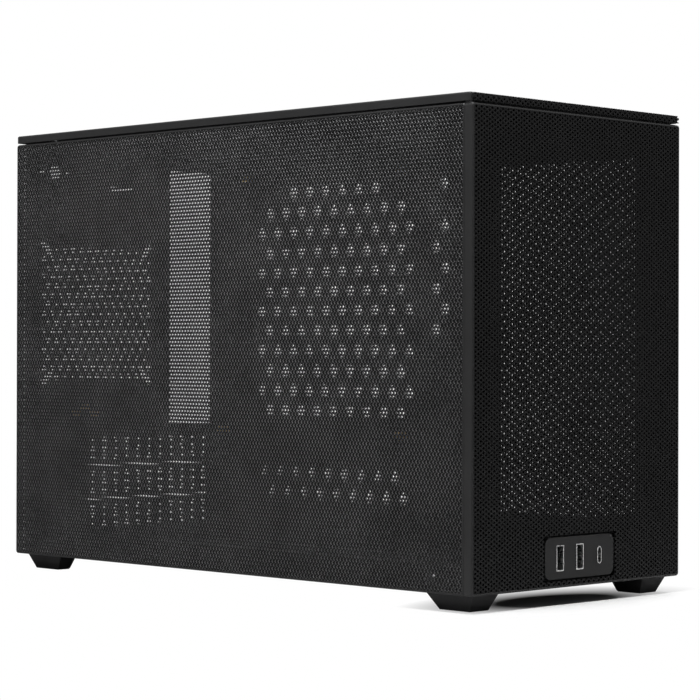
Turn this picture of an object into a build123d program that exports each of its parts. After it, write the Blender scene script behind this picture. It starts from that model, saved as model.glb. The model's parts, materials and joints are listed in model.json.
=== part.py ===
"""Mini ITX PC case: perforated sheet panels around a folded steel chassis.

Millimetres, +Z up. The origin lies on the floor under the middle of the case. The front faces -Y, the
connectors leave at the rear, +Y, and the motherboard tray stands near the right side, +X.
"""

import os
from math import radians, sin, sqrt, tan

from build123d import *

os.makedirs("parts", exist_ok=True)

# Overall size of the case without its feet
body_length = 362.0
body_width = 167.0
body_height = 247.0
foot_height = 8.7

left = -body_width / 2
right = body_width / 2
front = -body_length / 2
rear = body_length / 2
base = foot_height
top = foot_height + body_height

# Outer sheets: the cover, the front panel and the two side panels
panel_sheet = 1.0
fold_radius = 0.9
cover_rim = 4.3
cover_seam = 0.9
front_return = 4.5
corner_seam = 0.7
side_return = 5.0
panel_clearance = 0.5

# The real sheets have holes 1.5 mm wide and 2.3 mm apart; here the same field is drawn coarser
mesh_pitch = 36.0
mesh_hole = 28.5
mesh_border = 3.0

# Chassis sheets and their folds
chassis_sheet = 1.2
side_rail = 14.0
end_rail = 8.0
rear_inset = 1.0
stiffener_depth = 12.0
sheet_clearance = 0.6

chassis_left = left + side_return + panel_clearance
chassis_right = right - side_return - panel_clearance
chassis_front = front + front_return + panel_clearance
chassis_rear = rear - rear_inset
chassis_top = top - cover_rim - panel_clearance
chassis_width = chassis_right - chassis_left
chassis_length = chassis_rear - chassis_front
chassis_height = chassis_top - base
chassis_y = (chassis_front + chassis_rear) / 2
chassis_z = (base + chassis_top) / 2

# Connector opening of the board, and the board's holes, from its top edge and from its rear edge
io_width = 44.45
io_height = 158.75
io_from_top = 13.75
io_from_tray = 2.55
io_rib_depth = 10.7
board_top_from_top = 12.8
board_rear_gap = 1.9
board_upper_holes = 6.35
board_lower_holes = 163.83
board_front_column = 165.10
board_upper_rear_column = 33.02
board_lower_rear_column = 10.16
standoff_height = 6.35
standoff_flats = 5.0
standoff_thread = 2.6

# Motherboard tray
tray_from_right = 10.7
tray_flange = 3.4
tray_hole = 9.0
tray_pitch = 14.0
tray_field_from_front = 252.75
tray_field_above_base = 144.7
tray_field_rows = 11
tray_field_columns = 10
tray_top_row_holes = 6
tray_lower_field_above_base = 39.0
tray_lower_field_columns = 9
tray_column_from_front = 165.25
tray_column_rows = (-1, 0, 1, 2, 3, 4, 6)
tray_opening_from_front = 10.7
tray_opening_to = 118.0
tray_opening_above_base = 29.0
tray_opening_from_top = 22.0
tray_opening_corner = 16.0
tray_slot_from_rear = 10.5
tray_slot_above_base = 180.0
tray_slot_length = 16.0
tray_slot_width = 4.0

# Rear panel: fan vent
vent_from_left = 60.5
vent_above_base = 142.5
vent_width = 84.0
vent_height = 90.0
vent_pitch = 16.0
vent_hole = 11.0
fan_slot_inner = 35.0
fan_slot_outer = 43.0
fan_slot_width = 4.5

# Rear panel: expansion slots
slot_pitch = 20.32
slot_count = 3
slot_middle_above_base = 40.1
slot_cover_width = 18.8
slot_cover_length = 113.0
slot_cover_sheet = 0.9
slot_window_length = 98.0
slot_window_from_right = 17.0
slot_cover_hole = 5.0
slot_cover_hole_length = 14.0
slot_cover_holes = 4
slot_screw_inset = 4.0
slot_screw_shank = 3.0
slot_screw_head = 5.6
slot_screw_head_height = 1.8
screw_fit = 0.05

# Rear panel: small openings near its top edge
aerial_hole = 8.5
aerial_from_left = 27.5
aerial_from_top = 20.0
aerial_screw_spread = 9.75
aerial_screw_hole = 3.2
cable_slot_from_left = 79.5
cable_slot_from_top = 27.5
cable_slot_length = 17.0
cable_slot_width = 2.6
side_slot_from_left = 18.8
side_slot_above_base = 153.7
side_slot_length = 21.5
side_slot_width = 3.0

# Power button at the rear
button_diameter = 9.0
button_height = 3.2
button_travel = 1.5
button_bore_fit = 0.3
button_end_gap = 0.3
button_from_left = 48.0
button_from_top = 25.0
switch_flange = 14.0
switch_flange_height = 1.6
switch_barrel = 12.0
switch_length = 15.0
switch_wall_fit = 0.1
switch_nut = 15.0
switch_nut_height = 2.5

# Mains inlet at the rear
inlet_from_left = 36.5
inlet_above_slots = 4.0
inlet_width = 27.0
inlet_height = 19.8
inlet_depth = 16.0
inlet_flange_width = 49.0
inlet_flange_height = 22.0
inlet_flange_sheet = 2.5
inlet_fit = 0.2
inlet_wall = 2.2
inlet_floor = 3.0
pin_width = 2.0
pin_breadth = 4.0
pin_reach = 11.0
pin_tab = 6.0
pin_pitch = 7.0
pin_offset = 2.5

# Front ports
port_above_base = 15.1
bezel_width = 55.0
bezel_height = 21.2
bezel_radius = 4.0
bezel_gap = 1.0
bezel_recess = 0.3
port_pitch = 15.8
usb_a_length = 13.1
usb_a_thickness = 5.7
usb_c_length = 8.9
usb_c_thickness = 3.3
shell_wall = 0.4
shell_depth = 18.0
shell_recess = 0.1
port_fit = 0.15
port_window_width = 44.0
port_window_height = 16.0
tongue_length = 11.0
tongue_thickness = 1.8
tongue_reach = 15.5
usb_c_tongue_length = 6.4
usb_c_tongue_thickness = 0.8
port_board_width = 62.0
port_board_height = 18.0
port_board_thickness = 1.6
port_post_spread = 26.0
port_post_flats = 5.0

# Large openings of the front frame, the top frame and the base plate
front_opening_from_left = 15.0
front_opening_from_right = 31.0
front_opening_above_base = 34.0
front_opening_from_top = 18.0
top_opening_width = 92.0
top_opening_from_end = 28.0
fan_row_spread = 52.5
fan_row_slots = 4
fan_row_pitch = 75.0
fan_row_length = 58.0
fan_row_width = 4.5
base_opening_width = 60.0
base_opening_length = 9.0
base_opening_pitch = 16.0
base_openings = 14

# Feet
foot_length = 31.0
foot_width = 20.0
foot_corner = 9.2
foot_corner_lean = 27.0
foot_side_slope = 3.2
foot_outer_slope = 4.2
foot_inner_slope = 6.5
foot_inset_x = 5.7
foot_inset_y = 4.7

# Snap studs of the panels and their square clips in the chassis
stud_neck = 3.4
stud_head = 4.4
stud_head_height = 2.4
stud_reach = 8.5
clip_outer = 9.0
clip_neck = 6.4
clip_bore = 5.2
clip_collar = 1.0
side_stud_from_end = 26.0
side_stud_edge = 7.0
front_stud_from_left = 10.3
front_stud_from_right = 19.5
front_stud_low = 50.0
front_stud_from_top = 25.0
top_stud_from_side = 12.0
top_stud_from_end = 13.0

side_front = front + front_return + corner_seam
side_length = rear - side_front
side_y = (side_front + rear) / 2
panel_top = top - cover_rim - cover_seam
panel_height = panel_top - base
panel_z = (base + panel_top) / 2

tray_face = right - tray_from_right
port_z = base + port_above_base
port_front = front + bezel_recess
shell_front = front + shell_recess
port_board_front = shell_front + shell_depth
port_x = [-port_pitch, 0.0, port_pitch]


def lattice(width, height, pitch, hole):
    """Centres of a triangular lattice, rows along the first axis, with all holes inside a rectangle."""
    row_step = pitch * sin(radians(60))
    half_rows = int((height - hole) / 2 / row_step)
    points = []
    for row in range(-half_rows, half_rows + 1):
        shift = pitch / 2 if row % 2 else 0.0
        columns = int(((width - hole) / 2 - shift) / pitch)
        first = -columns - 1 if row % 2 else -columns
        for column in range(first, columns + 1):
            points.append((column * pitch + shift, row * row_step))
    return points


def diamond(diagonal):
    """A square on its point, the form of one opening of the outer sheets and of the tray."""
    return Rectangle(diagonal / sqrt(2), diagonal / sqrt(2), rotation=45)


def hexagon(flats, mode=Mode.ADD):
    """A hexagon with its points up and down, so that its flats face its neighbours in a row."""
    return RegularPolygon(flats / sqrt(3), 6, rotation=30, mode=mode)


def plane_at_y(y):
    """A vertical plane that faces the front, with X and Z as its own axes."""
    return Plane.XZ.offset(-y)


# Side panels: a perforated face with a return on all four edges
def side_sheet(outer, inward):
    """The folded and perforated sheet of one side; inward is the sign of X towards the chassis."""
    field_length = side_length - 2 * mesh_border
    field_height = panel_height - 2 * mesh_border
    with BuildPart() as sheet:
        with BuildSketch(Plane.YZ.offset(outer)):
            with Locations((side_y, panel_z)):
                Rectangle(side_length, panel_height)
        extrude(amount=inward * side_return)
        outer_face = sheet.faces().sort_by(Axis.X)[0 if inward > 0 else -1]
        fillet(outer_face.edges(), radius=fold_radius)
        with BuildSketch(Plane.YZ.offset(outer + inward * panel_sheet)):
            with Locations((side_y, panel_z)):
                Rectangle(side_length - 2 * panel_sheet, panel_height - 2 * panel_sheet)
        extrude(amount=inward * side_return, mode=Mode.SUBTRACT)
        with BuildSketch(Plane.YZ.offset(outer)):
            with Locations((side_y, panel_z)):
                with Locations(*lattice(field_length, field_height, mesh_pitch, mesh_hole)):
                    diamond(mesh_hole)
        extrude(amount=inward * panel_sheet, mode=Mode.SUBTRACT)
    return sheet.part


for name, outer, inward in (("left_side_panel", left, 1), ("right_side_panel", right, -1)):
    panel = side_sheet(outer, inward)
    panel.label = name
    export_step(panel, f"parts/{name}.step")

# Front panel: the same sheet turned, with the window of the port plate
port_window = (bezel_width + 2 * bezel_gap, bezel_height + 2 * bezel_gap)
front_field_width = body_width - 2 * mesh_border
front_field_height = panel_height - 2 * mesh_border


def clear_of_ports(across, up):
    """True where a hole of the front field leaves the port plate's window its border."""
    reach = mesh_hole / 2 + mesh_border
    beside = abs(across) > port_window[0] / 2 + reach
    above = panel_z + up > port_z + port_window[1] / 2 + reach
    return beside or above


front_holes = [
    (across, up)
    for up, across in lattice(front_field_height, front_field_width, mesh_pitch, mesh_hole)
    if clear_of_ports(across, up)
]

with BuildPart() as front_panel:
    with BuildSketch(plane_at_y(front)):
        with Locations((0, panel_z)):
            Rectangle(body_width, panel_height)
    extrude(amount=-front_return)
    fillet(front_panel.faces().sort_by(Axis.Y)[0].edges(), radius=fold_radius)
    with BuildSketch(plane_at_y(front + panel_sheet)):
        with Locations((0, panel_z)):
            Rectangle(body_width - 2 * panel_sheet, panel_height - 2 * panel_sheet)
    extrude(amount=-front_return, mode=Mode.SUBTRACT)
    with BuildSketch(plane_at_y(front)):
        with Locations((0, port_z)):
            RectangleRounded(*port_window, bezel_radius + bezel_gap)
        with Locations((0, panel_z)):
            with Locations(*front_holes):
                diamond(mesh_hole)
    extrude(amount=-panel_sheet, mode=Mode.SUBTRACT)
front_panel.part.label = "front_panel"
export_step(front_panel.part, "parts/front_panel.step")

# Top cover: a perforated sheet with a low rim all round
with BuildPart() as top_cover:
    with BuildSketch(Plane.XY.offset(top)):
        Rectangle(body_width, body_length)
    extrude(amount=-cover_rim)
    fillet(top_cover.faces().sort_by(Axis.Z)[-1].edges(), radius=fold_radius)
    with BuildSketch(Plane.XY.offset(top - panel_sheet)):
        Rectangle(body_width - 2 * panel_sheet, body_length - 2 * panel_sheet)
    extrude(amount=-cover_rim, mode=Mode.SUBTRACT)
    with BuildSketch(Plane.XY.offset(top)):
        with Locations(*[
            (across, along)
            for along, across in lattice(
                body_length - 2 * mesh_border, body_width - 2 * mesh_border, mesh_pitch, mesh_hole
            )
        ]):
            diamond(mesh_hole)
    extrude(amount=-panel_sheet, mode=Mode.SUBTRACT)
top_cover.part.label = "top_cover"
export_step(top_cover.part, "parts/top_cover.step")

# Clip seats in the chassis, as (X or Y, height) on the face that carries them
side_stud_places = [
    (along, height)
    for along in (chassis_front + side_stud_from_end, chassis_rear - side_stud_from_end)
    for height in (base + side_stud_edge, chassis_top - side_stud_edge)
]
front_stud_places = [
    (across, height)
    for across in (left + front_stud_from_left, right - front_stud_from_right)
    for height in (base + front_stud_low, top - front_stud_from_top)
]
top_stud_places = [
    (across, along)
    for across in (chassis_left + top_stud_from_side, chassis_right - top_stud_from_side)
    for along in (chassis_front + top_stud_from_end, chassis_rear - top_stud_from_end)
]
foot_x = body_width / 2 - foot_inset_x - foot_width / 2
foot_y = body_length / 2 - foot_inset_y - foot_length / 2
foot_places = [(side * foot_x, end * foot_y) for side in (-1, 1) for end in (-1, 1)]


def folded_tray(outer_z, upward):
    """The base plate or the top frame as a plain tray; upward is the sign of Z of its rails."""
    inner_front = chassis_front + chassis_sheet
    inner_rear = chassis_rear - chassis_sheet
    with BuildPart() as tray:
        with BuildSketch(Plane.XY.offset(outer_z)):
            with Locations((0, (inner_front + inner_rear) / 2)):
                Rectangle(chassis_width, inner_rear - inner_front)
        extrude(amount=upward * chassis_sheet)
        with BuildSketch(Plane.XY.offset(outer_z)):
            with Locations((0, (inner_front + inner_rear) / 2)):
                Rectangle(chassis_width, inner_rear - inner_front)
                Rectangle(
                    chassis_width,
                    inner_rear - inner_front - 2 * chassis_sheet,
                    mode=Mode.SUBTRACT,
                )
        extrude(amount=upward * end_rail)
        with BuildSketch(Plane.XY.offset(outer_z)):
            with Locations((0, (inner_front + inner_rear) / 2)):
                Rectangle(chassis_width, inner_rear - inner_front)
                Rectangle(
                    chassis_width - 2 * chassis_sheet,
                    inner_rear - inner_front,
                    mode=Mode.SUBTRACT,
                )
        extrude(amount=upward * side_rail)
        with BuildSketch(Plane.YZ.offset(chassis_left)):
            with Locations(*side_stud_places):
                Rectangle(clip_neck, clip_neck)
        extrude(amount=chassis_width, mode=Mode.SUBTRACT)
    return tray.part


# Base plate: a tray with air slots across its middle and a notch at the ports
with BuildPart() as base_plate:
    add(folded_tray(base, 1))
    with BuildSketch(Plane.XY.offset(base)):
        with GridLocations(1, base_opening_pitch, 1, base_openings):
            Rectangle(base_opening_width, base_opening_length)
        for side in (-1, 1):
            with Locations((side * fan_row_spread, chassis_y)):
                with GridLocations(1, fan_row_pitch, 1, fan_row_slots):
                    Rectangle(fan_row_width, fan_row_length)
    extrude(amount=chassis_sheet, mode=Mode.SUBTRACT)
    with BuildSketch(plane_at_y(chassis_front)):
        with Locations((0, port_z)):
            Rectangle(port_window_width, port_window_height)
    extrude(amount=-2 * chassis_sheet, mode=Mode.SUBTRACT)
base_plate.part.label = "base_plate"
export_step(base_plate.part, "parts/base_plate.step")

# Top frame: a tray upside down, open in the middle, with fan slots along both sides
with BuildPart() as top_frame:
    add(folded_tray(chassis_top, -1))
    with BuildSketch(Plane.XY.offset(chassis_top)):
        with Locations((0, chassis_y)):
            Rectangle(top_opening_width, chassis_length - 2 * top_opening_from_end)
        for side in (-1, 1):
            with Locations((side * fan_row_spread, chassis_y)):
                with GridLocations(1, fan_row_pitch, 1, fan_row_slots):
                    Rectangle(fan_row_width, fan_row_length)
        with Locations(*top_stud_places):
            Rectangle(clip_neck, clip_neck)
    extrude(amount=-chassis_sheet, mode=Mode.SUBTRACT)
top_frame.part.label = "top_frame"
export_step(top_frame.part, "parts/top_frame.step")


def end_sheet(outer_y, inward):
    """The front frame or the rear panel without its openings: a sheet with a stiffener on each side."""
    with BuildPart() as sheet:
        with BuildSketch(plane_at_y(outer_y)):
            with Locations((0, chassis_z)):
                Rectangle(chassis_width, chassis_height)
        extrude(amount=-inward * chassis_sheet)
        with BuildSketch(plane_at_y(outer_y)):
            with Locations((0, chassis_z)):
                stiffener_height = chassis_height - 2 * (side_rail + sheet_clearance)
                Rectangle(chassis_width, stiffener_height)
                Rectangle(chassis_width - 2 * chassis_sheet, stiffener_height, mode=Mode.SUBTRACT)
        extrude(amount=-inward * stiffener_depth)
    return sheet.part


# Front frame: a large opening, with the port window below it
port_posts = [(-port_post_spread, port_z), (port_post_spread, port_z)]
front_opening_left = left + front_opening_from_left
front_opening_right = right - front_opening_from_right
front_opening_low = base + front_opening_above_base
front_opening_high = top - front_opening_from_top
with BuildPart() as front_frame:
    add(end_sheet(chassis_front, 1))
    with BuildSketch(plane_at_y(chassis_front)):
        with Locations((
            (front_opening_left + front_opening_right) / 2,
            (front_opening_low + front_opening_high) / 2,
        )):
            Rectangle(
                front_opening_right - front_opening_left, front_opening_high - front_opening_low
            )
        with Locations((0, port_z)):
            Rectangle(port_window_width, port_window_height)
        with Locations(*front_stud_places):
            Rectangle(clip_neck, clip_neck)
    extrude(amount=-chassis_sheet, mode=Mode.SUBTRACT)
front_frame.part.label = "front_frame"
export_step(front_frame.part, "parts/front_frame.step")

# Rear panel: connector opening, fan vent, slot window, inlet window and small openings
io_left = tray_face - io_from_tray - io_width
io_x = io_left + io_width / 2
io_z = top - io_from_top - io_height / 2
vent_x = left + vent_from_left
vent_z = base + vent_above_base
slot_window_x = right - slot_window_from_right - slot_window_length / 2
slot_z = [base + slot_middle_above_base + step * slot_pitch for step in (1, 0, -1)]
slot_window_height = (slot_count - 1) * slot_pitch + slot_cover_width
slot_screw_x = slot_window_x - slot_cover_length / 2 + slot_screw_inset
slot_screw_places = [(slot_screw_x, height) for height in slot_z]
inlet_x = left + inlet_from_left
inlet_z = slot_z[0] + slot_cover_width / 2 + inlet_above_slots + inlet_flange_height / 2
button_x = left + button_from_left
button_z = top - button_from_top

with BuildPart() as rear_panel:
    add(end_sheet(chassis_rear, -1))
    with BuildSketch(plane_at_y(chassis_rear)):
        with Locations((io_left - chassis_sheet / 2, io_z)):
            Rectangle(chassis_sheet, io_height)
    extrude(amount=io_rib_depth + chassis_sheet)
    with BuildSketch(plane_at_y(chassis_rear)):
        with Locations((io_x, io_z)):
            Rectangle(io_width, io_height)
        with Locations((vent_x, vent_z)):
            with Locations(*lattice(vent_width, vent_height, vent_pitch, vent_hole)):
                hexagon(vent_hole)
            for turn in (45, 135, 225, 315):
                slot_reach = (fan_slot_inner + fan_slot_outer) / 2 * sqrt(2)
                with PolarLocations(slot_reach, 1, start_angle=turn):
                    Rectangle((fan_slot_outer - fan_slot_inner) * sqrt(2), fan_slot_width)
        with Locations((slot_window_x, base + slot_middle_above_base)):
            Rectangle(slot_window_length, slot_window_height)
        with Locations(*slot_screw_places):
            hexagon(slot_screw_shank)
        with Locations((inlet_x, inlet_z)):
            Rectangle(inlet_width + 2 * inlet_fit, inlet_height + 2 * inlet_fit)
        with Locations((button_x, button_z)):
            Circle(switch_barrel / 2 + switch_wall_fit)
        with Locations((left + aerial_from_left, top - aerial_from_top)):
            hexagon(aerial_hole)
            with GridLocations(2 * aerial_screw_spread, 1, 2, 1):
                hexagon(aerial_screw_hole)
        with Locations((left + cable_slot_from_left, top - cable_slot_from_top)):
            Rectangle(cable_slot_length, cable_slot_width)
        with Locations((left + side_slot_from_left, base + side_slot_above_base)):
            Rectangle(side_slot_width, side_slot_length)
    extrude(amount=chassis_sheet, mode=Mode.SUBTRACT)
rear_panel.part.label = "rear_panel"
export_step(rear_panel.part, "parts/rear_panel.step")

# Motherboard tray: a tall sheet between the base plate and the top frame, with two fields of vents
tray_front = chassis_front + 2 * chassis_sheet
tray_rear = chassis_rear - 2 * chassis_sheet
tray_low = base + chassis_sheet
tray_high = chassis_top - chassis_sheet
tray_y = (tray_front + tray_rear) / 2
tray_z = (tray_low + tray_high) / 2
tray_row_step = tray_pitch * sin(radians(60))
board_rear = chassis_rear - chassis_sheet - board_rear_gap
board_top = top - board_top_from_top
board_holes = [
    (board_rear - board_upper_rear_column, board_top - board_upper_holes),
    (board_rear - board_front_column, board_top - board_upper_holes),
    (board_rear - board_lower_rear_column, board_top - board_lower_holes),
    (board_rear - board_front_column, board_top - board_lower_holes),
]
tray_field_rows_each = (tray_field_rows + 1) // 2

with BuildPart() as motherboard_tray:
    with BuildSketch(Plane.YZ.offset(tray_face)):
        with Locations((tray_y, tray_z)):
            Rectangle(tray_rear - tray_front, tray_high - tray_low)
    extrude(amount=chassis_sheet)
    with BuildSketch(Plane.YZ.offset(tray_face)):
        for edge in (tray_low + chassis_sheet / 2, tray_high - chassis_sheet / 2):
            with Locations((tray_y, edge)):
                Rectangle(tray_rear - tray_front, chassis_sheet)
    extrude(amount=tray_flange)
    with BuildSketch(Plane.YZ.offset(tray_face)):
        with BuildLine():
            Polyline(
                (front + tray_opening_from_front, base + tray_opening_above_base + tray_opening_corner),
                (front + tray_opening_from_front + tray_opening_corner, base + tray_opening_above_base),
                (front + tray_opening_to, base + tray_opening_above_base),
                (front + tray_opening_to, top - tray_opening_from_top),
                (front + tray_opening_from_front, top - tray_opening_from_top),
                close=True,
            )
        make_face()
        with Locations((front + tray_field_from_front, base + tray_field_above_base)):
            with GridLocations(
                tray_pitch, 2 * tray_row_step, tray_field_columns - 1, tray_field_rows_each
            ):
                diamond(tray_hole)
            with GridLocations(
                tray_pitch, 2 * tray_row_step, tray_field_columns, tray_field_rows_each - 1
            ):
                diamond(tray_hole)
            with Locations((0, tray_field_rows_each * tray_row_step)):
                with GridLocations(tray_pitch, 1, tray_top_row_holes, 1):
                    diamond(tray_hole)
        with Locations((front + tray_field_from_front, base + tray_lower_field_above_base)):
            for side in (-1, 1):
                with Locations((side * tray_pitch / 4, side * tray_row_step / 2)):
                    with GridLocations(tray_pitch, 1, tray_lower_field_columns, 1):
                        diamond(tray_hole)
        with Locations(*[
            (
                front + tray_column_from_front + (tray_pitch / 4 if row % 2 else -tray_pitch / 4),
                base + tray_field_above_base + row * tray_row_step,
            )
            for row in tray_column_rows
        ]):
            diamond(tray_hole)
        with Locations((rear - tray_slot_from_rear, base + tray_slot_above_base)):
            Rectangle(tray_slot_width, tray_slot_length)
    extrude(amount=chassis_sheet, mode=Mode.SUBTRACT)
motherboard_tray.part.label = "motherboard_tray"
export_step(motherboard_tray.part, "parts/motherboard_tray.step")

# Four hexagonal standoffs that carry the motherboard, threaded through
with BuildPart() as board_standoffs:
    with BuildSketch(Plane.YZ.offset(tray_face)):
        with Locations(*board_holes):
            hexagon(standoff_flats)
            Circle(standoff_thread / 2, mode=Mode.SUBTRACT)
    extrude(amount=-standoff_height)
board_standoffs.part.label = "board_standoffs"
export_step(board_standoffs.part, "parts/board_standoffs.step")

# Three slot covers on the inside of the rear panel
cover_outer_y = chassis_rear - chassis_sheet
for index, height in enumerate(slot_z, start=1):
    with BuildPart() as slot_cover:
        with BuildSketch(plane_at_y(cover_outer_y)):
            with Locations((slot_window_x, height)):
                Rectangle(slot_cover_length, slot_cover_width)
                with GridLocations(slot_window_length / slot_cover_holes, 1, slot_cover_holes, 1):
                    Rectangle(slot_cover_hole_length, slot_cover_hole, mode=Mode.SUBTRACT)
            with Locations((slot_screw_x, height)):
                hexagon(slot_screw_shank, mode=Mode.SUBTRACT)
        extrude(amount=slot_cover_sheet)
    slot_cover.part.label = f"slot_cover_{index}"
    export_step(slot_cover.part, f"parts/slot_cover_{index}.step")


# Screws of the slot covers, hexagonal heads on the outside of the rear panel
with BuildPart() as slot_cover_screws:
    with BuildSketch(plane_at_y(chassis_rear)):
        with Locations(*slot_screw_places):
            hexagon(slot_screw_head)
    extrude(amount=-slot_screw_head_height)
    with BuildSketch(plane_at_y(chassis_rear)):
        with Locations(*slot_screw_places):
            hexagon(slot_screw_shank - 2 * screw_fit)
    extrude(amount=chassis_sheet + slot_cover_sheet)
slot_cover_screws.part.label = "slot_cover_screws"
export_step(slot_cover_screws.part, "parts/slot_cover_screws.step")

# Mains inlet: an open plastic cup with a flange on the outside of the rear panel
with BuildPart() as mains_inlet:
    with BuildSketch(plane_at_y(chassis_rear)):
        with Locations((inlet_x, inlet_z)):
            Rectangle(inlet_flange_width, inlet_flange_height)
            Rectangle(inlet_width - 2 * inlet_wall, inlet_height - 2 * inlet_wall, mode=Mode.SUBTRACT)
    extrude(amount=-inlet_flange_sheet)
    with BuildSketch(plane_at_y(chassis_rear)):
        with Locations((inlet_x, inlet_z)):
            Rectangle(inlet_width, inlet_height)
            Rectangle(inlet_width - 2 * inlet_wall, inlet_height - 2 * inlet_wall, mode=Mode.SUBTRACT)
    extrude(amount=inlet_depth)
    pin_places = [
        (inlet_x - pin_pitch, inlet_z - pin_offset),
        (inlet_x, inlet_z + pin_offset),
        (inlet_x + pin_pitch, inlet_z - pin_offset),
    ]
    with BuildSketch(plane_at_y(chassis_rear - inlet_depth + inlet_floor)):
        with Locations((inlet_x, inlet_z)):
            Rectangle(inlet_width, inlet_height)
        with Locations(*pin_places):
            Rectangle(pin_width, pin_breadth, mode=Mode.SUBTRACT)
    extrude(amount=inlet_floor)
mains_inlet.part.label = "mains_inlet"
export_step(mains_inlet.part, "parts/mains_inlet.step")

# Three flat pins through the floor of the inlet
with BuildPart() as inlet_pins:
    with BuildSketch(plane_at_y(chassis_rear - inlet_depth + inlet_floor + pin_reach)):
        with Locations(*pin_places):
            Rectangle(pin_width, pin_breadth)
    extrude(amount=pin_reach + inlet_floor + pin_tab)
inlet_pins.part.label = "inlet_pins"
export_step(inlet_pins.part, "parts/inlet_pins.step")

# Power switch: a flanged barrel through the rear panel with a well for its button
button_well = button_diameter / 2 + button_bore_fit
well_depth = button_height + button_travel + button_end_gap
with BuildPart() as power_switch:
    with BuildSketch(plane_at_y(chassis_rear)):
        with Locations((button_x, button_z)):
            Circle(switch_flange / 2)
    extrude(amount=-switch_flange_height)
    with BuildSketch(plane_at_y(chassis_rear)):
        with Locations((button_x, button_z)):
            Circle(switch_barrel / 2)
    extrude(amount=switch_length)
    with BuildSketch(plane_at_y(chassis_rear + switch_flange_height)):
        with Locations((button_x, button_z)):
            Circle(button_well)
    extrude(amount=well_depth, mode=Mode.SUBTRACT)
power_switch.part.label = "power_switch"
export_step(power_switch.part, "parts/power_switch.step")

# Nut of the power switch, on the inside of the rear panel
with BuildPart() as switch_nut_ring:
    with BuildSketch(plane_at_y(chassis_rear - chassis_sheet)):
        with Locations((button_x, button_z)):
            hexagon(switch_nut)
            Circle(switch_barrel / 2 + switch_wall_fit, mode=Mode.SUBTRACT)
    extrude(amount=switch_nut_height)
switch_nut_ring.part.label = "switch_nut"
export_step(switch_nut_ring.part, "parts/switch_nut.step")

# Power button: a round cap that sinks into the well
with BuildPart() as power_button:
    with BuildSketch(plane_at_y(chassis_rear + switch_flange_height)):
        with Locations((button_x, button_z)):
            Circle(button_diameter / 2)
    extrude(amount=button_height)
power_button.part.label = "power_button"
export_step(power_button.part, "parts/power_button.step")

# Port plate: a rounded plastic block between the front frame and the front panel's face
with BuildPart() as port_bezel:
    with BuildSketch(plane_at_y(port_front)):
        with Locations((0, port_z)):
            RectangleRounded(bezel_width, bezel_height, bezel_radius)
        for across in port_x[:2]:
            with Locations((across, port_z)):
                Rectangle(usb_a_thickness + 2 * port_fit, usb_a_length + 2 * port_fit, mode=Mode.SUBTRACT)
        with Locations((port_x[2], port_z)):
            SlotOverall(
                usb_c_length + 2 * port_fit, usb_c_thickness + 2 * port_fit, rotation=90, mode=Mode.SUBTRACT
            )
    extrude(amount=-(chassis_front - port_front))
port_bezel.part.label = "port_bezel"
export_step(port_bezel.part, "parts/port_bezel.step")

# Two USB-A shells, each a bent steel tube with its tongue
for name, across in (("left", port_x[0]), ("right", port_x[1])):
    with BuildPart() as usb_shell:
        with BuildSketch(plane_at_y(shell_front)):
            with Locations((across, port_z)):
                Rectangle(usb_a_thickness, usb_a_length)
                Rectangle(usb_a_thickness - 2 * shell_wall, usb_a_length - 2 * shell_wall, mode=Mode.SUBTRACT)
        extrude(amount=-shell_depth)
    usb_shell.part.label = f"usb_a_shell_{name}"
    export_step(usb_shell.part, f"parts/usb_a_shell_{name}.step")
    with BuildPart() as usb_tongue:
        with BuildSketch(plane_at_y(port_board_front)):
            with Locations((across, port_z)):
                Rectangle(tongue_thickness, tongue_length)
        extrude(amount=tongue_reach)
    usb_tongue.part.label = f"usb_a_tongue_{name}"
    export_step(usb_tongue.part, f"parts/usb_a_tongue_{name}.step")

# USB-C shell and its tongue
with BuildPart() as usb_c_shell:
    with BuildSketch(plane_at_y(shell_front)):
        with Locations((port_x[2], port_z)):
            SlotOverall(usb_c_length, usb_c_thickness, rotation=90)
            SlotOverall(
                usb_c_length - 2 * shell_wall,
                usb_c_thickness - 2 * shell_wall,
                rotation=90,
                mode=Mode.SUBTRACT,
            )
    extrude(amount=-shell_depth)
usb_c_shell.part.label = "usb_c_shell"
export_step(usb_c_shell.part, "parts/usb_c_shell.step")

with BuildPart() as usb_c_tongue:
    with BuildSketch(plane_at_y(port_board_front)):
        with Locations((port_x[2], port_z)):
            Rectangle(usb_c_tongue_thickness, usb_c_tongue_length)
    extrude(amount=tongue_reach)
usb_c_tongue.part.label = "usb_c_tongue"
export_step(usb_c_tongue.part, "parts/usb_c_tongue.step")

# Circuit board behind the ports, on two posts that stand on the front frame
with BuildPart() as port_board:
    with BuildSketch(plane_at_y(port_board_front)):
        with Locations((0, port_z)):
            Rectangle(port_board_width, port_board_height)
    extrude(amount=-port_board_thickness)
port_board.part.label = "port_board"
export_step(port_board.part, "parts/port_board.step")

with BuildPart() as port_posts_pair:
    with BuildSketch(plane_at_y(chassis_front + chassis_sheet)):
        with Locations(*port_posts):
            hexagon(port_post_flats)
    extrude(amount=-(port_board_front - chassis_front - chassis_sheet))
port_posts_pair.part.label = "port_posts"
export_step(port_posts_pair.part, "parts/port_posts.step")

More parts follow.
